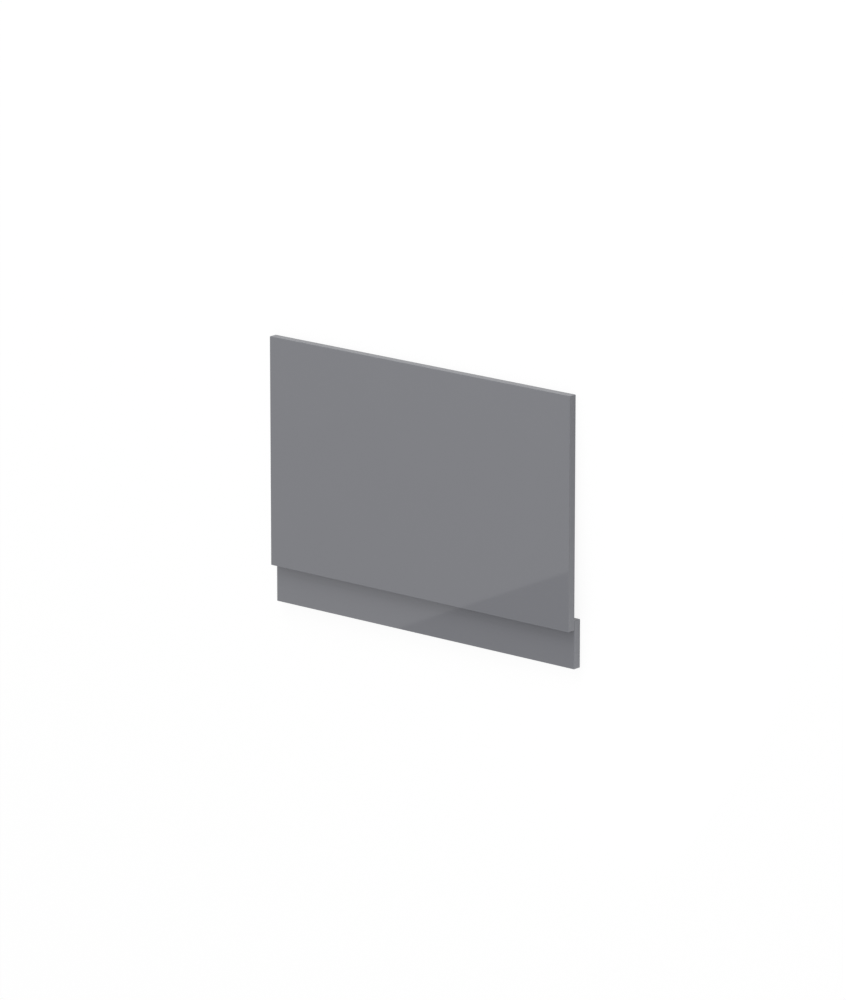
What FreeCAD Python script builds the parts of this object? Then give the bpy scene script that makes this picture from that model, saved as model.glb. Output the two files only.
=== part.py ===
"""Two-piece bath panel: a gloss front panel lapped over a recessed plinth board.

The panel lies on its back, front face up.  X runs along the width, Y from the
floor edge of the plinth to the top edge of the front panel, Z out of the face.
"""
import FreeCAD, Part

import os
from enum import IntEnum

import Sketcher

PARTS_FOLDER = "parts"
POSITION_TOLERANCE = 1e-6
VOLUME_TOLERANCE = 1e-2

# Driving sizes: millimetres, degrees or plain counts.
SIZES = [
    ("panel_width", 780, "length of both boards, end to end"),
    ("panel_height", 480, "front panel, lower edge to top edge"),
    ("panel_thickness", 18, "board of the front panel"),
    ("plinth_height", 100, "plinth, floor edge to hidden upper edge"),
    ("plinth_thickness", 18, "board of the plinth"),
    ("plinth_overlap", 20, "height of the plinth hidden behind the front panel"),
    ("corner_radius", 1.5, "rounding of the four corners of each board"),
    ("front_edge_radius", 1, "softened edge around each front face"),
    ("back_arris", 0.5, "sanded arris around each back face"),
    ("screw_count", 4, "screws in the row that joins the boards"),
    ("screw_end_inset", 60, "board end to the nearest screw"),
    ("clearance_diameter", 4.5, "screw hole through the plinth"),
    ("countersink_diameter", 9, "mouth of that hole in the plinth's back"),
    ("countersink_angle", 90, "full angle of the countersink"),
    ("pilot_diameter", 3, "blind hole in the back of the front panel"),
    ("pilot_depth", 12.5, "full-width depth of the blind hole"),
    ("pilot_point_angle", 118, "full angle of the blind hole's point"),
]

# Positions that follow from the driving sizes.
OVERALL_HEIGHT = "(Sizes.panel_height + Sizes.plinth_height - Sizes.plinth_overlap)"
PLINTH_FLOOR_EDGE = f"-{OVERALL_HEIGHT} / 2"
PANEL_LOWER_EDGE = f"{OVERALL_HEIGHT} / 2 - Sizes.panel_height"
SCREW_ROW_LENGTH = "(Sizes.panel_width - 2 * Sizes.screw_end_inset)"
SCREW_ROW_ON_PLINTH = "Sizes.plinth_height - Sizes.plinth_overlap / 2"
SCREW_ROW_ON_PANEL = "Sizes.plinth_overlap / 2"


class Axis(IntEnum):
    """A sketch's own axes."""

    X = -1
    Y = -2


class At(IntEnum):
    """The named points of a sketched line, circle or axis."""

    START = 1
    END = 2
    CENTRE = 3


doc = FreeCAD.newDocument("BathPanel")


def fill_sheet():
    """Write the driving sizes into the sheet, one named cell per row."""
    sheet = doc.addObject("Spreadsheet::Sheet", "Sizes")
    for row, (alias, value, meaning) in enumerate(SIZES, start=1):
        sheet.set(f"A{row}", alias)
        sheet.set(f"B{row}", str(value))
        sheet.set(f"C{row}", meaning)
        sheet.setAlias(f"B{row}", alias)
    doc.recompute()


def value_of(expression):
    """Work out a sheet expression as a plain number of millimetres."""
    return float(doc.Sizes.evalExpression(expression))


def sketch_on_back(body, name):
    """Add a sketch on the plane of the board's back face."""
    sketch = body.newObject("Sketcher::SketchObject", f"{body.Name}_{name}")
    plane = next(item for item in body.Origin.OriginFeatures if item.Role == "XY_Plane")
    sketch.AttachmentSupport = (plane, [""])
    sketch.MapMode = "FlatFace"
    return sketch


def dimension(sketch, name, kind, points, expression):
    """Add a named dimension between points of a sketch and tie it to the sheet."""
    index = sketch.addConstraint(Sketcher.Constraint(kind, *points, value_of(expression)))
    sketch.renameConstraint(index, name)
    sketch.setExpression(f"Constraints.{name}", expression)


def board_outline(body, height):
    """Sketch the board's outline: centred on its length, lower edge on the X axis."""
    sketch = sketch_on_back(body, "outline")
    half_width = value_of("Sizes.panel_width / 2")
    top = value_of(height)
    corners = [(-half_width, 0), (half_width, 0), (half_width, top), (-half_width, top)]
    points = [FreeCAD.Vector(x, y, 0) for x, y in corners]
    lower, right, upper, left = [
        sketch.addGeometry(Part.LineSegment(point, following), False)
        for point, following in zip(points, points[1:] + points[:1])
    ]
    for line, following in ((lower, right), (right, upper), (upper, left), (left, lower)):
        sketch.addConstraint(Sketcher.Constraint("Coincident", line, At.END, following, At.START))
    sketch.addConstraint(Sketcher.Constraint("Horizontal", upper))
    sketch.addConstraint(Sketcher.Constraint("Vertical", right))
    sketch.addConstraint(Sketcher.Constraint("Vertical", left))
    sketch.addConstraint(Sketcher.Constraint("PointOnObject", lower, At.START, Axis.X))
    sketch.addConstraint(Sketcher.Constraint("Symmetric", lower, At.START, lower, At.END, Axis.Y))
    dimension(sketch, "width", "DistanceX", (lower, At.START, lower, At.END), "Sizes.panel_width")
    dimension(sketch, "height", "DistanceY", (right, At.START, right, At.END), height)
    return sketch


def edge_names(feature, wanted):
    """Name the edges of a feature whose end points pass a test."""
    return [
        f"Edge{number}"
        for number, edge in enumerate(feature.Shape.Edges, start=1)
        if wanted([vertex.Point for vertex in edge.Vertexes])
    ]


def edges_at_level(feature, level):
    """Name the edges of a feature that lie in the plane at one height."""
    return edge_names(
        feature, lambda ends: all(abs(end.z - level) < POSITION_TOLERANCE for end in ends)
    )


def edges_across_board(feature):
    """Name the edges of a feature that run from the back face to the front face."""
    return edge_names(feature, lambda ends: abs(ends[0].z - ends[-1].z) > POSITION_TOLERANCE)


def finish_edges(body, board, thickness):
    """Round the corners and the front edge of a board, and ease its back arris."""
    doc.recompute()
    corners = body.newObject("PartDesign::Fillet", f"{body.Name}_corners")
    corners.Base = (board, edges_across_board(board))
    corners.setExpression("Radius", "Sizes.corner_radius")
    doc.recompute()

    front_edge = body.newObject("PartDesign::Fillet", f"{body.Name}_front_edge")
    front_edge.Base = (corners, edges_at_level(corners, value_of(thickness)))
    front_edge.setExpression("Radius", "Sizes.front_edge_radius")
    doc.recompute()

    back_edge = body.newObject("PartDesign::Chamfer", f"{body.Name}_back_edge")
    back_edge.Base = (front_edge, edges_at_level(front_edge, 0))
    back_edge.setExpression("Size", "Sizes.back_arris")
    doc.recompute()


def make_board(label, height, thickness):
    """Make one board, back face on the XY plane, with its edges finished."""
    body = doc.addObject("PartDesign::Body", label)
    body.Label = label
    board = body.newObject("PartDesign::Pad", f"{label}_board")
    board.Profile = board_outline(body, height)
    board.setExpression("Length", thickness)
    finish_edges(body, board, thickness)
    return body


def first_screw(body, row_height, diameter):
    """Sketch the screw hole nearest the left end of a board."""
    sketch = sketch_on_back(body, "first_screw")
    to_middle = f"{SCREW_ROW_LENGTH} / 2"
    centre = FreeCAD.Vector(-value_of(to_middle), value_of(row_height), 0)
    radius = value_of(f"{diameter} / 2")
    hole = sketch.addGeometry(Part.Circle(centre, FreeCAD.Vector(0, 0, 1), radius), False)
    dimension(sketch, "diameter", "Diameter", (hole,), diameter)
    dimension(sketch, "to_middle", "DistanceX", (hole, At.CENTRE, Axis.X, At.START), to_middle)
    dimension(sketch, "above_lower_edge", "DistanceY", (Axis.X, At.START, hole, At.CENTRE), row_height)
    doc.recompute()
    return sketch


def drill_screw_row(body, row_height, sizes, choices):
    """Drill one screw hole into the back of a board and repeat it along the board.

    sizes ties the hole's measures to the sheet; choices are its plain settings.
    """
    solid_volume = body.Shape.Volume
    sketch = first_screw(body, row_height, sizes["Diameter"])
    hole = body.newObject("PartDesign::Hole", f"{body.Name}_screw_hole")
    hole.Profile = sketch
    hole.Reversed = True
    doc.recompute()
    for name, choice in choices.items():
        setattr(hole, name, choice)
    for name, expression in sizes.items():
        hole.setExpression(name, expression)
    doc.recompute()
    hole_volume = solid_volume - hole.Shape.Volume

    row = body.newObject("PartDesign::LinearPattern", f"{body.Name}_screw_row")
    row.Originals = [hole]
    row.Direction = (sketch, ["H_Axis"])
    row.setExpression("Length", SCREW_ROW_LENGTH)
    row.setExpression("Occurrences", "Sizes.screw_count")
    body.Tip = row
    doc.recompute()
    row_volume = solid_volume - row.Shape.Volume
    if hole_volume <= 0 or abs(row_volume - row.Occurrences * hole_volume) > VOLUME_TOLERANCE:
        raise RuntimeError(f"{body.Label}: the screw row is not drilled as meant")


def place(body, y, z):
    """Put a board at its place in the panel."""
    body.setExpression("Placement.Base.y", y)
    body.setExpression("Placement.Base.z", z)


def write_boards(bodies):
    """Stop on a broken feature, else write one solid file per board."""
    doc.recompute()
    for item in doc.Objects:
        if "Invalid" in item.State or "Error" in item.State:
            raise RuntimeError(f"{item.Label}: {item.State}")
    os.makedirs(PARTS_FOLDER, exist_ok=True)
    for body in bodies:
        shape = body.Shape
        if shape.isNull() or not shape.isValid() or len(shape.Solids) != 1:
            raise RuntimeError(f"{body.Label} is not one sound solid")
        shape.exportStep(f"{PARTS_FOLDER}/{body.Label}.step")


fill_sheet()

front_panel = make_board("front_panel", "Sizes.panel_height", "Sizes.panel_thickness")
drill_screw_row(
    front_panel,
    SCREW_ROW_ON_PANEL,
    sizes={
        "Diameter": "Sizes.pilot_diameter",
        "Depth": "Sizes.pilot_depth",
        "DrillPointAngle": "Sizes.pilot_point_angle",
    },
    choices={"DepthType": "Dimension", "DrillPoint": "Angled", "Threaded": False},
)
place(front_panel, PANEL_LOWER_EDGE, "Sizes.plinth_thickness")

plinth = make_board("plinth", "Sizes.plinth_height", "Sizes.plinth_thickness")
drill_screw_row(
    plinth,
    SCREW_ROW_ON_PLINTH,
    sizes={
        "Diameter": "Sizes.clearance_diameter",
        "HoleCutDiameter": "Sizes.countersink_diameter",
        "HoleCutCountersinkAngle": "Sizes.countersink_angle",
    },
    choices={"DepthType": "ThroughAll", "HoleCutType": "Countersink", "Threaded": False},
)
place(plinth, PLINTH_FLOOR_EDGE, "0")

write_boards([front_panel, plinth])
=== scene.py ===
"""The look of a two-piece bath panel: its gloss grey boards, the screws that join them, and a plain studio.

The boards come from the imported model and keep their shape.  This script gives them their
lacquer, adds the screws, and sets the floor, the light and the camera.  The panel lies on
its back: X along its width, Y towards its top edge, Z out of its face.  Lengths are in
metres and angles in degrees, unless a name says otherwise.
"""
import logging
import math
from dataclasses import dataclass
from enum import Enum
from typing import Any

import bmesh
import bpy
from mathutils import Matrix, Vector


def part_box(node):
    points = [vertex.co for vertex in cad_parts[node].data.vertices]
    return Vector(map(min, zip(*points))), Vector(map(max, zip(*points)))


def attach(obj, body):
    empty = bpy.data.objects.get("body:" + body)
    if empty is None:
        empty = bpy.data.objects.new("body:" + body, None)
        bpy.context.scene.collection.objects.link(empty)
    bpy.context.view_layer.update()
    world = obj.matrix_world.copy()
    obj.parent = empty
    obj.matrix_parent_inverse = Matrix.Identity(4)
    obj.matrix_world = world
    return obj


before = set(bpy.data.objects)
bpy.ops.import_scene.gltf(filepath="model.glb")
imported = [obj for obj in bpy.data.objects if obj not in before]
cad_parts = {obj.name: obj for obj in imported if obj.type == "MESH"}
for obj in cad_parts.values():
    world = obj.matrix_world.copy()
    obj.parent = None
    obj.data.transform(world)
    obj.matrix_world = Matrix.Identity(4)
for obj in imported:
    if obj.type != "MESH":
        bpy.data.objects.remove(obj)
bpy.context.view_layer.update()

LOG = logging.getLogger("bath_panel")
BODY = "root"
MM = 0.001
MICRON = 0.000001
UP = Vector((0, 0, 1))

Paint = tuple[float, float, float, float]
Triple = tuple[float, float, float]
Band = tuple[float, float]

GREY_LACQUER: Paint = (0.209, 0.213, 0.232, 1.0)
WHITE: Paint = (1.0, 1.0, 1.0, 1.0)


class Op(Enum):
    """The sums that a Math node can do."""

    ADD = "ADD"
    SUBTRACT = "SUBTRACT"
    MULTIPLY = "MULTIPLY"
    POWER = "POWER"
    SIZE = "ABSOLUTE"
    LEAST = "MINIMUM"
    MOST = "MAXIMUM"
    FOLD = "PINGPONG"
    BEARING = "ARCTAN2"


class Ray(Enum):
    """The kinds of ray that a surface or the sky can tell apart."""

    CAMERA = "Is Camera Ray"
    GLOSSY = "Is Glossy Ray"
    TRANSMISSION = "Is Transmission Ray"


class Shade:
    """A number that varies over a surface: one output socket that can be reckoned with."""

    def __init__(self, graph: "Graph", socket: bpy.types.NodeSocket) -> None:
        """Wrap one output socket of a graph."""
        self.graph = graph
        self.socket = socket

    def __add__(self, other: "Shade | float") -> "Shade":
        """Add a number or another shade."""
        return self.graph.math(Op.ADD, self, other)

    def __radd__(self, other: float) -> "Shade":
        """Add this shade to a number."""
        return self.graph.math(Op.ADD, other, self)

    def __sub__(self, other: "Shade | float") -> "Shade":
        """Take a number or another shade away."""
        return self.graph.math(Op.SUBTRACT, self, other)

    def __rsub__(self, other: float) -> "Shade":
        """Take this shade away from a number."""
        return self.graph.math(Op.SUBTRACT, other, self)

    def __mul__(self, other: "Shade | float") -> "Shade":
        """Multiply by a number or another shade."""
        return self.graph.math(Op.MULTIPLY, self, other)

    def __rmul__(self, other: float) -> "Shade":
        """Multiply a number by this shade."""
        return self.graph.math(Op.MULTIPLY, other, self)

    def __pow__(self, power: float) -> "Shade":
        """Raise to a power."""
        return self.graph.math(Op.POWER, self, power)

    def __abs__(self) -> "Shade":
        """Drop the sign."""
        return self.graph.math(Op.SIZE, self)

    def rises(self, low: float, high: float) -> "Shade":
        """Turn the number into a soft step.

        Args:
            low: where the step leaves 0.
            high: where the step reaches 1.

        Returns:
            0 below low, 1 above high, and a smooth ramp between.
        """
        ramp = self.graph.node(
            "ShaderNodeMapRange",
            {"interpolation_type": "SMOOTHSTEP"},
            {"Value": self, "From Min": low, "From Max": high},
        )
        return Shade(self.graph, ramp.outputs["Result"])

    def falls(self, low: float, high: float) -> "Shade":
        """Give 1 below low, 0 above high, and a smooth ramp between."""
        return 1 - self.rises(low, high)

    def between(self, first: "Shade | float", second: "Shade | float") -> "Shade":
        """Mix two values by this share.

        Args:
            first: the value where this shade is 0.
            second: the value where this shade is 1.

        Returns:
            The mixed value.
        """
        return first + self * (second - first)


class Graph:
    """The node tree of one finish, floor or sky, and the one place that adds nodes to it."""

    def __init__(self, tree: bpy.types.NodeTree) -> None:
        """Take over a tree and empty it."""
        self.tree = tree
        tree.nodes.clear()

    def node(
        self,
        kind: str,
        settings: dict[str, Any] | None = None,
        inputs: dict[str | int, Any] | None = None,
    ) -> bpy.types.Node:
        """Add one node.

        Args:
            kind: the node's type.
            settings: properties that are set first, such as an operation.
            inputs: socket name or number to a plain value, a socket or a shade.

        Returns:
            The new node.
        """
        made = self.tree.nodes.new(kind)
        for name, value in (settings or {}).items():
            setattr(made, name, value)
        for key, value in (inputs or {}).items():
            source = value.socket if isinstance(value, Shade) else value
            if isinstance(source, bpy.types.NodeSocket):
                self.tree.links.new(source, made.inputs[key])
            else:
                made.inputs[key].default_value = source
        return made

    def math(self, op: Op, *terms: Shade | float) -> Shade:
        """Add a Math node.

        Args:
            op: the sum to do.
            terms: its numbers, in order.

        Returns:
            The result.
        """
        made = self.node("ShaderNodeMath", {"operation": op.value}, dict(enumerate(terms)))
        return Shade(self, made.outputs["Value"])

    def position(self) -> bpy.types.NodeSocket:
        """Give the place on the piece, in metres."""
        return self.node("ShaderNodeTexCoord").outputs["Object"]

    def axes(self, vector: bpy.types.NodeSocket) -> tuple[Shade, Shade, Shade]:
        """Split a vector into three separate numbers."""
        split = self.node("ShaderNodeSeparateXYZ", inputs={"Vector": vector})
        return tuple(Shade(self, split.outputs[name]) for name in "XYZ")

    def noise(self, grain: float, detail: float = 3.0) -> Shade:
        """Add cloudy noise that runs from about 0 to 1.

        Args:
            grain: the size of one cloud, in metres.
            detail: how many finer layers it has.

        Returns:
            The noise.
        """
        made = self.node(
            "ShaderNodeTexNoise",
            inputs={"Vector": self.position(), "Scale": 1 / grain, "Detail": detail},
        )
        return Shade(self, made.outputs[0])

    def blend(
        self, share: Shade, first: Paint | bpy.types.NodeSocket, second: Paint | bpy.types.NodeSocket
    ) -> bpy.types.NodeSocket:
        """Mix two colours.

        Args:
            share: how much of the second colour shows.
            first: the colour where share is 0.
            second: the colour where share is 1.

        Returns:
            The mixed colour.
        """
        # A Mix node's sockets for numbers and colours share their names, so they are told by place.
        factor, colour_a, colour_b, result = 0, 6, 7, 2
        made = self.node(
            "ShaderNodeMix", {"data_type": "RGBA"}, {factor: share, colour_a: first, colour_b: second}
        )
        return made.outputs[result]

    def relief(self, microns: Shade) -> bpy.types.NodeSocket:
        """Turn a height in microns into the normal of an uneven surface."""
        made = self.node("ShaderNodeBump", inputs={"Strength": 1.0, "Distance": MICRON, "Height": microns})
        return made.outputs["Normal"]

    def is_ray(self, *kinds: Ray) -> Shade:
        """Give 1 where the ray is of any of these kinds, else 0."""
        path = self.node("ShaderNodeLightPath")
        found = Shade(self, path.outputs[kinds[0].value])
        for kind in kinds[1:]:
            found = self.math(Op.MOST, found, Shade(self, path.outputs[kind.value]))
        return found

    def along(self, vector: bpy.types.NodeSocket, direction: Vector) -> Shade:
        """Measure how far a vector goes along a direction."""
        made = self.node("ShaderNodeVectorMath", {"operation": "DOT_PRODUCT"}, {0: vector, 1: direction})
        return Shade(self, made.outputs["Value"])


def grey(level: float, warmth: float = 0.0) -> Paint:
    """Mix an opaque near-grey paint.

    Args:
        level: its linear brightness.
        warmth: the share by which red is raised and blue lowered.

    Returns:
        The paint.
    """
    return (level * (1 + warmth), level, level * (1 - warmth), 1.0)


def lighter(paint: Paint, share: float) -> Paint:
    """Make a paint lighter by a share, or darker if the share is below zero."""
    red, green, blue, alpha = paint
    return (red * (1 + share), green * (1 + share), blue * (1 + share), alpha)


def new_finish(name: str) -> tuple[bpy.types.Material, Graph]:
    """Make an empty material and take over its node tree."""
    made = bpy.data.materials.new(name)
    made.use_nodes = True
    return made, Graph(made.node_tree)


@dataclass(frozen=True)
class Layer:
    """What a surface looks like at each place: its colour, its roughness and its relief in microns."""

    graph: Graph
    colour: bpy.types.NodeSocket
    roughness: Shade
    microns: Shade

    def under(self, coat: "Layer", share: Shade) -> "Layer":
        """Cover this layer with a coat.

        Args:
            coat: the layer that goes on top.
            share: how much of the coat there is at each place.

        Returns:
            The two together.
        """
        return Layer(
            self.graph,
            self.graph.blend(share, self.colour, coat.colour),
            share.between(self.roughness, coat.roughness),
            share.between(self.microns, coat.microns),
        )

    def close(self, metallic: float = 0.0, ior: float = 1.5) -> None:
        """End the layer's graph with its shader.

        Args:
            metallic: 1 for bare or plated metal, 0 for the rest.
            ior: the index of refraction, that of a clear lacquer unless given.
        """
        shader = self.graph.node(
            "ShaderNodeBsdfPrincipled",
            inputs={
                "Base Color": self.colour,
                "Roughness": self.roughness,
                "Metallic": metallic,
                "IOR": ior,
                "Normal": self.graph.relief(self.microns),
            },
        )
        self.graph.node("ShaderNodeOutputMaterial", inputs={"Surface": shader.outputs["BSDF"]})


@dataclass(frozen=True)
class Coat:
    """One coat or bare surface: its paint and sheen, both a little cloudy, and its fine relief.

    Attributes:
        paint: the mean colour.
        grain: the size of a cloud in the colour and the sheen.
        mottle: the share by which the clouds darken or lighten the paint at most.
        roughness: the mean roughness.
        haze: how much the clouds add to or take from the roughness at most.
        bump_grain: the size of a bump.
        bump_microns: how far the bumps rise or sink at most.
    """

    paint: Paint
    grain: float
    mottle: float
    roughness: float
    haze: float
    bump_grain: float
    bump_microns: float

    def lay(self, graph: Graph) -> Layer:
        """Spread the coat over a whole piece.

        Args:
            graph: the node tree of the piece's finish.

        Returns:
            The coat as a layer.
        """
        cloud = graph.noise(self.grain)
        thin, thick = lighter(self.paint, -self.mottle), lighter(self.paint, self.mottle)
        roughness = cloud.between(self.roughness - self.haze, self.roughness + self.haze)
        bumps = graph.noise(self.bump_grain).between(-self.bump_microns, self.bump_microns)
        return Layer(graph, graph.blend(cloud, thin, thick), roughness, bumps)


@dataclass
class Board:
    """One board of the panel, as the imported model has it."""

    name: str

    def __post_init__(self) -> None:
        """Look up the board and its box."""
        self.piece: bpy.types.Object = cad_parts[self.name]
        low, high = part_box(self.name)
        self.low = Vector(low)
        self.high = Vector(high)

    @property
    def size(self) -> Vector:
        """The board's extent along each axis."""
        return self.high - self.low

    @property
    def centre(self) -> Vector:
        """The middle of the board's box."""
        return (self.low + self.high) / 2

    def inset(self, x: Shade, y: Shade) -> Shade:
        """Measure how far a place lies inside the nearest edge of the board.

        Args:
            x: the place along the board.
            y: the place up the board.

        Returns:
            The distance, in metres.
        """
        from_end = self.size.x / 2 - abs(x - self.centre.x)
        from_side = self.size.y / 2 - abs(y - self.centre.y)
        return x.graph.math(Op.LEAST, from_end, from_side)

    def dress(self, finish: bpy.types.Material) -> None:
        """Give every face of the board its finish."""
        slots = self.piece.data.materials
        for index in range(len(slots)):
            slots[index] = finish
        if not slots:
            slots.append(finish)
        LOG.info("%s wears %s", self.name, finish.name)


@dataclass
class DrillRow:
    """The row of screw holes along the lap where the plinth lies behind the front panel."""

    panel: Board
    plinth: Board
    count: int = 4
    end_inset: float = 60 * MM
    mouth_radius: float = 4.5 * MM

    @property
    def y(self) -> float:
        """The middle of the lap."""
        return (self.panel.low.y + self.plinth.high.y) / 2

    @property
    def start(self) -> float:
        """The first screw's place along X."""
        return self.plinth.low.x + self.end_inset

    @property
    def spacing(self) -> float:
        """The distance from one screw to the next."""
        return (self.plinth.size.x - 2 * self.end_inset) / (self.count - 1)

    def mouths(self) -> list[Vector]:
        """List the middle of each hole's mouth in the plinth's back, left to right."""
        first = Vector((self.start, self.y, self.plinth.low.z))
        return [first + Vector((step * self.spacing, 0, 0)) for step in range(self.count)]

    def from_rim(self, x: Shade, y: Shade) -> Shade:
        """Measure how far a place lies outside the nearest hole's mouth.

        Args:
            x: the place along the plinth.
            y: the place up the plinth.

        Returns:
            The distance in metres, below zero inside the mouth.
        """
        across = x.graph.math(Op.FOLD, x - self.start, self.spacing / 2)
        up = y - self.y
        return (across * across + up * up) ** 0.5 - self.mouth_radius


@dataclass(frozen=True)
class GlossLacquer:
    """High-gloss lacquer on fibreboard: a mirror-like face, satin edges and a plain matt back.

    The front arris is a little rubbed, a mist of lacquer has drifted onto the back near its
    edges, and the bare core shows in open holes.  A band says over which stretch a coat starts
    or ends: from the nearest edge, or for the back from its face, or for the core from a rim.
    """

    face: Coat = Coat(
        paint=GREY_LACQUER,
        grain=90 * MM,
        mottle=0.012,
        roughness=0.010,
        haze=0.002,
        bump_grain=7 * MM,
        bump_microns=0.25,
    )
    rubbed: Coat = Coat(
        paint=lighter(GREY_LACQUER, 0.30),
        grain=0.9 * MM,
        mottle=0.050,
        roughness=0.040,
        haze=0.020,
        bump_grain=7 * MM,
        bump_microns=0.25,
    )
    edge: Coat = Coat(
        paint=GREY_LACQUER,
        grain=0.9 * MM,
        mottle=0.012,
        roughness=0.360,
        haze=0.110,
        bump_grain=0.9 * MM,
        bump_microns=1.0,
    )
    back: Coat = Coat(
        paint=grey(0.36, warmth=0.01),
        grain=2.5 * MM,
        mottle=0.060,
        roughness=0.520,
        haze=0.080,
        bump_grain=1.2 * MM,
        bump_microns=4.5,
    )
    mist: Coat = Coat(
        paint=GREY_LACQUER,
        grain=2.5 * MM,
        mottle=0.030,
        roughness=0.500,
        haze=0.080,
        bump_grain=1.2 * MM,
        bump_microns=4.5,
    )
    core: Coat = Coat(
        paint=(0.35, 0.225, 0.125, 1.0),
        grain=0.9 * MM,
        mottle=0.300,
        roughness=0.900,
        haze=0.060,
        bump_grain=0.9 * MM,
        bump_microns=30.0,
    )
    edge_ends: Band = (0.05 * MM, 0.60 * MM)
    arris_starts: Band = (0.10 * MM, 0.60 * MM)
    arris_ends: Band = (1.0 * MM, 2.2 * MM)
    arris_rub: float = 0.35
    arris_grain: float = 0.9 * MM
    back_ends: Band = (0.10 * MM, 0.30 * MM)
    mist_ends: Band = (4 * MM, 15 * MM)
    mist_wander: float = 9 * MM
    mist_grain: float = 7 * MM
    mist_share: float = 0.7
    core_ends: Band = (0.0, 0.10 * MM)

    def material(self, board: Board, row: DrillRow | None = None) -> bpy.types.Material:
        """Make the finish of one board.

        Args:
            board: the board that wears it, which says where its faces are.
            row: the open holes in the board's back, if it has any.

        Returns:
            The material.
        """
        made, graph = new_finish(f"{board.name}_gloss_lacquer")
        x, y, z = graph.axes(graph.position())
        inset = board.inset(x, y)

        rub = self.arris_rub * graph.noise(self.arris_grain)
        rub = rub * inset.rises(*self.arris_starts) * inset.falls(*self.arris_ends)
        drift = inset + self.mist_wander * graph.noise(self.mist_grain)
        mist = self.mist_share * drift.falls(*self.mist_ends)
        back = self.back.lay(graph).under(self.mist.lay(graph), mist)

        layer = self.face.lay(graph).under(self.rubbed.lay(graph), rub)
        layer = layer.under(self.edge.lay(graph), inset.falls(*self.edge_ends))
        layer = layer.under(back, (z - board.low.z).falls(*self.back_ends))
        if row:
            layer = layer.under(self.core.lay(graph), row.from_rim(x, y).falls(*self.core_ends))
        layer.close()
        return made


@dataclass(frozen=True)
class ZincPlate:
    """Bright zinc on steel, a little dulled and uneven."""

    plate: Coat = Coat(
        paint=(0.58, 0.59, 0.60, 1.0),
        grain=1.6 * MM,
        mottle=0.300,
        roughness=0.340,
        haze=0.100,
        bump_grain=0.25 * MM,
        bump_microns=3.0,
    )

    def material(self) -> bpy.types.Material:
        """Make the finish."""
        made, graph = new_finish("zinc_plate")
        self.plate.lay(graph).close(metallic=1.0)
        return made


@dataclass(frozen=True)
class PaleFloor:
    """A plain pale floor that stays white to the eye and still takes a soft shadow.

    Attributes:
        paint: the colour that the lamps and the sky light.
        lift: the share of an even glow that the eye, gloss and glass see in place of the paint.
        glow: the brightness of that glow.
    """

    paint: Paint = grey(0.80)
    lift: float = 0.84
    glow: float = 1.065

    def material(self) -> bpy.types.Material:
        """Make the finish."""
        made, graph = new_finish("pale_floor")
        matt = graph.node("ShaderNodeBsdfDiffuse", inputs={"Color": self.paint})
        glow = graph.node("ShaderNodeEmission", inputs={"Color": WHITE, "Strength": self.glow})
        seen = graph.is_ray(Ray.CAMERA, Ray.GLOSSY, Ray.TRANSMISSION) * self.lift
        mixed = graph.node(
            "ShaderNodeMixShader", inputs={0: seen, 1: matt.outputs["BSDF"], 2: glow.outputs["Emission"]}
        )
        graph.node("ShaderNodeOutputMaterial", inputs={"Surface": mixed.outputs["Shader"]})
        return made


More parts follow.
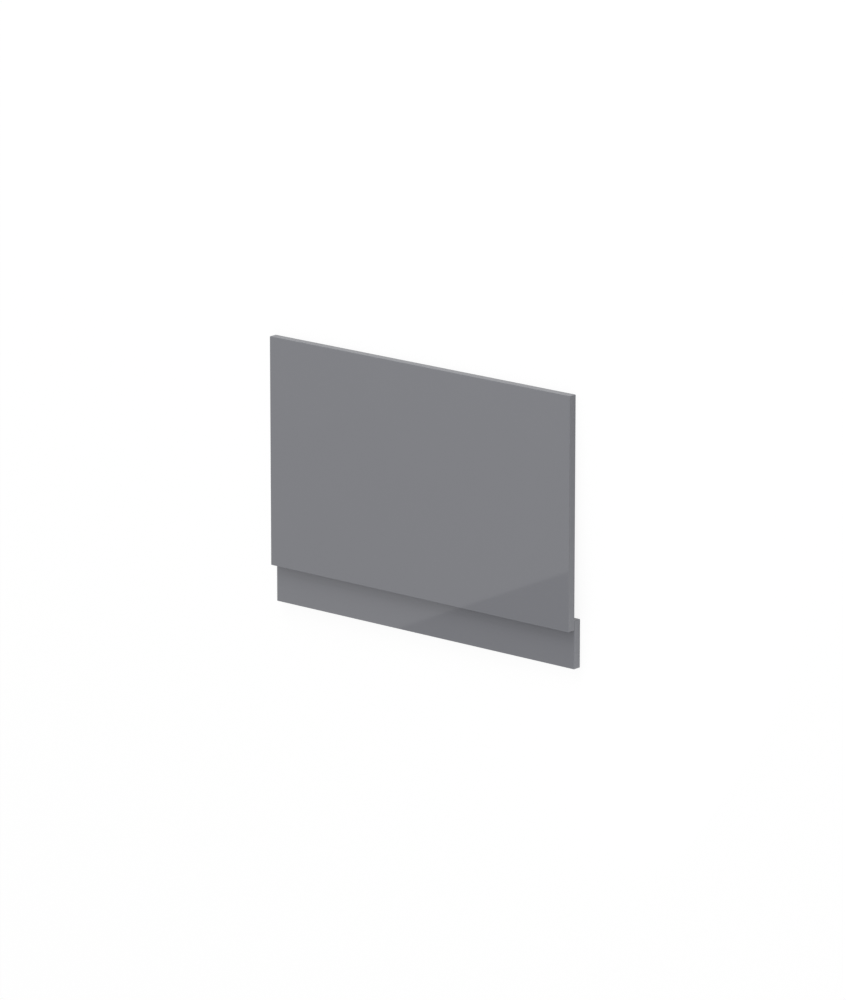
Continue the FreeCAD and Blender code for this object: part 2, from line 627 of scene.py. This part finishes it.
@dataclass
class JoiningScrew:
    """A countersunk cross-head screw, driven from the plinth's back into the front panel.

    Its flat top faces down, a little way inside the mouth of its hole, and its point is up.

    Attributes:
        name: the name of the piece.
        mouth: the middle of the hole's mouth.
        turned: the angle at which the cross was left.
        sunk: how far the head lies inside the mouth.
        length: from the flat top to the tip of the point.
        head_radius: the widest radius of the head.
        rim: the small chamfer round the flat top.
        core_radius: the radius between the thread's turns.
        neck: the plain stretch behind the head's cone.
        neck_taper: the stretch over which the neck narrows to the core.
        point: the length of the point.
        thread_radius: the radius over the thread, and of the neck.
        thread_base: the radius at the foot of the thread's ridge, inside the core.
        thread_width: the width of the ridge at its foot.
        pitch: the distance from one turn of the thread to the next.
        turns: how many turns it has.
        recess_reach: how far the arms of the cross go out from the middle.
        recess_half_width: half the width of an arm.
        recess_depth: how deep the cross is.
        recess_taper: the share of its width that is left at that depth.
        recess_point: how much deeper its tip is.
        recess_point_taper: the share of the width above it that is left at the tip.
        crease: the angle past which an edge stays sharp.
        steps: how many flats one turn has.
        weld: how close two vertices are made one.
    """

    name: str
    mouth: Vector
    turned: float = 0.0
    sunk: float = 0.4 * MM
    length: float = 30.0 * MM
    head_radius: float = 4.0 * MM
    rim: float = 0.15 * MM
    core_radius: float = 1.35 * MM
    neck: float = 1.2 * MM
    neck_taper: float = 0.6 * MM
    point: float = 5.0 * MM
    thread_radius: float = 2.0 * MM
    thread_base: float = 1.2 * MM
    thread_width: float = 1.08 * MM
    pitch: float = 1.8 * MM
    turns: int = 11
    recess_reach: float = 2.3 * MM
    recess_half_width: float = 0.50 * MM
    recess_depth: float = 1.5 * MM
    recess_taper: float = 0.62
    recess_point: float = 0.5 * MM
    recess_point_taper: float = 0.3
    crease: float = 30.0
    steps: int = 36
    weld: float = 0.002 * MM

    def build(self) -> bpy.types.Object:
        """Model the screw with its head down.

        Returns:
            The finished piece, attached to the root body.
        """
        bm = bmesh.new()
        self._turn_body(bm)
        self._cut_recess(bm)
        self._wind_thread(bm)
        bmesh.ops.remove_doubles(bm, verts=bm.verts, dist=self.weld)
        bmesh.ops.recalc_face_normals(bm, faces=bm.faces)
        turn = Matrix.Rotation(math.radians(self.turned), 3, UP)
        bmesh.ops.rotate(bm, verts=bm.verts, cent=(0, 0, 0), matrix=turn)
        bmesh.ops.translate(bm, verts=bm.verts, vec=self.mouth + UP * self.sunk)
        mesh = bpy.data.meshes.new(self.name)
        bm.to_mesh(mesh)
        bm.free()
        mesh.polygons.foreach_set("use_smooth", [True] * len(mesh.polygons))
        mesh.set_sharp_from_angle(angle=math.radians(self.crease))
        piece = bpy.data.objects.new(self.name, mesh)
        bpy.context.scene.collection.objects.link(piece)
        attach(piece, BODY)
        return piece

    def _turn_body(self, bm: bmesh.types.BMesh) -> None:
        """Turn the head's cone, the neck, the core and the point about the screw's axis.

        Args:
            bm: the mesh that gets them.
        """
        cone_end = self.rim + self.head_radius - self.thread_radius
        neck_end = cone_end + self.neck
        outline = [
            (self.head_radius - self.rim, 0.0),
            (self.head_radius, self.rim),
            (self.thread_radius, cone_end),
            (self.thread_radius, neck_end),
            (self.core_radius, neck_end + self.neck_taper),
            (self.core_radius, self.length - self.point),
            (0.0, self.length),
        ]
        verts = [bm.verts.new((radius, 0, height)) for radius, height in outline]
        edges = [bm.edges.new(pair) for pair in zip(verts, verts[1:])]
        bmesh.ops.spin(
            bm,
            geom=verts + edges,
            cent=(0, 0, 0),
            axis=UP,
            dvec=(0, 0, 0),
            angle=2 * math.pi,
            steps=self.steps,
            use_merge=True,
        )
        bmesh.ops.remove_doubles(bm, verts=bm.verts, dist=self.weld)

    def _cut_recess(self, bm: bmesh.types.BMesh) -> None:
        """Close the head's flat top and sink a tapered cross into it.

        Args:
            bm: the mesh that has the turned body.
        """
        rim = [edge for edge in bm.edges if edge.is_boundary]
        bmesh.ops.contextual_create(bm, geom=rim)
        reach, half = self.recess_reach, self.recess_half_width
        for across in (Vector((1, 0, 0)), Vector((0, 1, 0))):
            for offset in (-reach, -half, half, reach):
                flat = self._flat_faces(bm)
                parts = dict.fromkeys(part for face in flat for part in (*face.verts, *face.edges))
                bmesh.ops.bisect_plane(
                    bm,
                    geom=flat + list(parts),
                    dist=self.weld / 2,
                    plane_co=across * offset,
                    plane_no=across,
                )
        cross = [face for face in self._flat_faces(bm) if self._in_cross(face.calc_center_median())]
        socket = (self.recess_depth, self.recess_taper)
        tip = (self.recess_point, self.recess_point_taper)
        for depth, taper in (socket, tip):
            sunk = bmesh.ops.extrude_face_region(bm, geom=cross)["geom"]
            bmesh.ops.delete(bm, geom=cross, context="FACES")
            floor = [item for item in sunk if isinstance(item, bmesh.types.BMVert)]
            cross = [item for item in sunk if isinstance(item, bmesh.types.BMFace)]
            bmesh.ops.scale(bm, verts=floor, vec=(taper, taper, 1))
            bmesh.ops.translate(bm, verts=floor, vec=UP * depth)

    def _flat_faces(self, bm: bmesh.types.BMesh) -> list[bmesh.types.BMFace]:
        """List the faces of the head's flat top."""
        return [face for face in bm.faces if all(abs(vert.co.z) < self.weld for vert in face.verts)]

    def _in_cross(self, place: Vector) -> bool:
        """Tell whether a place on the head's flat top is inside the cross."""
        short, long = sorted((abs(place.x), abs(place.y)))
        return short < self.recess_half_width and long < self.recess_reach

    def _wind_thread(self, bm: bmesh.types.BMesh) -> None:
        """Wind the thread's ridge around the core as a closed strip.

        Args:
            bm: the mesh that gets it.
        """
        start = self.length - self.point - self.pitch * self.turns
        ridge = [
            (self.thread_base, 0.0),
            (self.thread_radius, self.thread_width / 2),
            (self.thread_base, self.thread_width),
        ]
        verts = [bm.verts.new((radius, 0, start + height)) for radius, height in ridge]
        first = bm.faces.new(verts)
        swept = bmesh.ops.spin(
            bm,
            geom=list(first.edges) + verts,
            cent=(0, 0, 0),
            axis=UP,
            dvec=UP * (self.pitch / self.steps),
            angle=2 * math.pi * self.turns,
            steps=self.steps * self.turns,
        )
        last = [item for item in swept["geom_last"] if isinstance(item, bmesh.types.BMVert)]
        bm.faces.new(last)


@dataclass
class Screws:
    """The screws that hold the plinth to the front panel, each left at a turn of its own."""

    row: DrillRow
    finish: ZincPlate = ZincPlate()
    turn_step: float = 137.0

    def build(self) -> None:
        """Model and dress every screw."""
        plated = self.finish.material()
        for number, mouth in enumerate(self.row.mouths(), start=1):
            piece = JoiningScrew(f"joining_screw_{number}", mouth, number * self.turn_step).build()
            piece.data.materials.append(plated)
            LOG.info("%s has %d faces", piece.name, len(piece.data.polygons))


def sines(*angles: float) -> list[float]:
    """Turn angles into their sines, which the parts of a direction are compared with."""
    return [math.sin(math.radians(angle)) for angle in angles]


@dataclass(frozen=True)
class DarkCard:
    """A dark card in the sky, whose straight edge the gloss face mirrors as a crisp line.

    Attributes:
        light: its brightness.
        bearing: where the middle of that edge is seen, turned from X towards Y.
        rise: how high that middle is seen.
        tilt: how far the edge leans.
        blur: how soft the edge is, to either side.
        width: where the card fades out, past the edge.
        reach: where it fades out, along the edge to either side of the middle.
        front: keeps it off the far side of the sky.
    """

    light: float = 0.385
    bearing: float = 203.86
    rise: float = 47.75
    tilt: float = 0.28
    blur: float = 0.013
    width: Band = (26.0, 30.0)
    reach: Band = (34.0, 40.0)
    front: Band = (0.0, 6.0)

    def cover(self, graph: Graph, toward: bpy.types.NodeSocket) -> Shade:
        """Work out where the card hides the sky.

        Args:
            graph: the sky's node tree.
            toward: the direction looked in.

        Returns:
            1 on the card, 0 beside it.
        """
        bearing, rise, tilt = (math.radians(angle) for angle in (self.bearing, self.rise, self.tilt))
        level = Vector((-math.sin(bearing), math.cos(bearing), 0))
        middle = level.cross(UP) * math.cos(rise) + UP * math.sin(rise)
        across = Matrix.Rotation(tilt, 3, middle) @ level
        past = graph.along(toward, across)
        beside = abs(graph.along(toward, across.cross(middle)))
        card = past.rises(*sines(-self.blur, self.blur)) * past.falls(*sines(*self.width))
        card = card * beside.falls(*sines(*self.reach))
        return card * graph.along(toward, middle).rises(*sines(*self.front))


@dataclass(frozen=True)
class SoftboxRing:
    """A ring of softboxes round the studio, under the open sky, that the gloss mirrors from low down.

    Attributes:
        light: the brightness of a box.
        gap: the brightness between boxes.
        dimmed: the share of light that the ring loses on the right, towards X.
        count: how many boxes there are.
        box_width: the angle that one box fills.
        first: the bearing of the first box, turned from X towards Y.
        blur: how soft a box's upright edges are.
        foot: the height over which the boxes start.
        top: the height over which the ring gives way to the sky.
    """

    light: float = 0.82
    gap: float = 0.48
    dimmed: float = 0.50
    count: int = 8
    box_width: float = 30.0
    first: float = 16.2
    blur: float = 0.05
    foot: Band = (6.0, 8.0)
    top: Band = (36.0, 42.0)

    def under(self, sky: float, graph: Graph, toward: bpy.types.NodeSocket) -> Shade:
        """Put the ring under an even sky.

        Args:
            sky: the brightness of the sky above the ring.
            graph: the sky's node tree.
            toward: the direction looked in.

        Returns:
            The brightness of ring and sky together.
        """
        x, y, z = graph.axes(toward)
        bearing = graph.math(Op.BEARING, y, x) - math.radians(self.first)
        off_middle = graph.math(Op.FOLD, bearing, math.pi / self.count)
        half, blur = math.radians(self.box_width / 2), math.radians(self.blur)
        box = off_middle.falls(half - blur, half + blur) * z.rises(*sines(*self.foot))
        ring = box.between(self.gap, self.light) * (1 - self.dimmed * graph.math(Op.MOST, x, 0.0))
        return z.rises(*sines(*self.top)).between(ring, sky)


@dataclass(frozen=True)
class SoftLamp:
    """A square lamp that lights the panel and is neither seen nor mirrored."""

    name: str
    at: Triple
    aim: Triple
    size: float
    watts: float

    def hang(self) -> None:
        """Make the lamp and point it."""
        light = bpy.data.lights.new(self.name, "AREA")
        light.shape = "SQUARE"
        light.size = self.size
        light.energy = self.watts
        lamp = bpy.data.objects.new(self.name, light)
        lamp.location = self.at
        lamp.rotation_euler = (Vector(self.aim) - lamp.location).to_track_quat("-Z", "Y").to_euler()
        lamp.visible_camera = False
        lamp.visible_glossy = False
        bpy.context.scene.collection.objects.link(lamp)
        LOG.info("%s gives %.2f W", self.name, self.watts)


@dataclass
class Studio:
    """A pale floor under the panel, a white sky with softboxes and a dark card, and two soft lamps.

    Attributes:
        panel: the board whose top edge rests on the floor.
        plinth: the board whose upper edge rests on the floor.
        floor_half_size: half the width of the floor.
        floor_gap: how far below those edges the floor stays.
        back_arris: how wide the boards' eased back edges are.
        floor: the floor's finish.
        sky: the brightness of the open sky.
        backdrop: the brightness that the camera itself sees in place of the sky.
        ring: the softboxes.
        card: the dark card.
        lamps: the soft lamps.
    """

    panel: Board
    plinth: Board
    floor_half_size: float = 9.0
    floor_gap: float = 0.05 * MM
    back_arris: float = 0.5 * MM
    floor: PaleFloor = PaleFloor()
    sky: float = 0.91
    backdrop: float = 1.0
    ring: SoftboxRing = SoftboxRing()
    card: DarkCard = DarkCard()
    lamps: tuple[SoftLamp, ...] = (
        SoftLamp("high_lamp", at=(0.2, 3.9, 2.1), aim=(0.0, 0.0, 0.0), size=2.2, watts=58.0),
        SoftLamp("low_lamp", at=(0.75, -0.45, 0.08), aim=(0.39, -0.2, 0.03), size=0.12, watts=0.42),
    )

    def build(self) -> None:
        """Lay the floor, hang the sky and light the lamps."""
        self._lay_floor()
        self._hang_sky()
        for lamp in self.lamps:
            lamp.hang()

    def _lay_floor(self) -> None:
        """Lay the floor under the two back edges that rest on it.

        They are the plinth's upper edge and the panel's top edge, so the floor slopes.
        """
        near = Vector((0, self.plinth.high.y - self.back_arris, self.plinth.low.z - self.floor_gap))
        far = Vector((0, self.panel.high.y - self.back_arris, self.panel.low.z - self.floor_gap))
        slope = math.atan2(far.z - near.z, far.y - near.y)
        bm = bmesh.new()
        bmesh.ops.create_grid(bm, x_segments=2, y_segments=2, size=self.floor_half_size)
        lay = Matrix.Translation(near) @ Matrix.Rotation(slope, 4, "X")
        bmesh.ops.transform(bm, matrix=lay, verts=bm.verts)
        mesh = bpy.data.meshes.new("floor")
        bm.to_mesh(mesh)
        bm.free()
        mesh.materials.append(self.floor.material())
        floor = bpy.data.objects.new("floor", mesh)
        bpy.context.scene.collection.objects.link(floor)
        LOG.info("floor slopes %.2f degrees", math.degrees(slope))

    def _hang_sky(self) -> None:
        """Make the sky, which the camera itself sees as plain white."""
        world = bpy.data.worlds.new("studio_sky")
        world.use_nodes = True
        bpy.context.scene.world = world
        graph = Graph(world.node_tree)
        toward = graph.node("ShaderNodeTexCoord").outputs["Generated"]
        light = self.ring.under(self.sky, graph, toward)
        light = self.card.cover(graph, toward).between(light, self.card.light)
        light = graph.is_ray(Ray.CAMERA).between(light, self.backdrop)
        back = graph.node("ShaderNodeBackground", inputs={"Color": WHITE, "Strength": light})
        graph.node("ShaderNodeOutputWorld", inputs={"Surface": back.outputs["Background"]})


@dataclass
class Viewpoint:
    """The camera, far off with a long lens, square on to the panel's face but for a turn and a rise.

    Attributes:
        turn: the angle that it is moved to the right, towards X.
        rise: the angle that it is moved up, towards the panel's top edge.
        distance: how far it stands from its target.
        lens_mm: its focal length.
        reach: how far it sees.
        target: what it points at.
    """

    turn: float = 40.03
    rise: float = 14.88
    distance: float = 13.696
    lens_mm: float = 246.96
    reach: float = 100.0
    target: Triple = (0.01465, 0.00605, 0.03547)

    def place(self) -> None:
        """Make the camera and give it to the scene."""
        turn, rise = math.radians(self.turn), math.radians(self.rise)
        right = Vector((math.cos(turn), 0, -math.sin(turn)))
        back = Vector((math.sin(turn) * math.cos(rise), math.sin(rise), math.cos(turn) * math.cos(rise)))
        stand = Matrix((right, back.cross(right), back)).transposed().to_4x4()
        stand.translation = Vector(self.target) + back * self.distance
        data = bpy.data.cameras.new("camera")
        data.lens = self.lens_mm
        data.clip_end = self.reach
        camera = bpy.data.objects.new("camera", data)
        camera.matrix_world = stand
        bpy.context.scene.collection.objects.link(camera)
        bpy.context.scene.camera = camera
        LOG.info("camera at %s", tuple(round(number, 3) for number in stand.translation))


def main() -> None:
    """Dress the boards, add the screws and set up the studio."""
    logging.basicConfig(level=logging.INFO, format="%(name)s: %(message)s")
    bpy.context.scene.view_settings.view_transform = "Standard"
    panel, plinth = Board("front_panel"), Board("plinth")
    row = DrillRow(panel, plinth)
    lacquer = GlossLacquer()
    panel.dress(lacquer.material(panel))
    plinth.dress(lacquer.material(plinth, row))
    Screws(row).build()
    Studio(panel, plinth).build()
    Viewpoint().place()


if __name__ == "__main__":
    main()
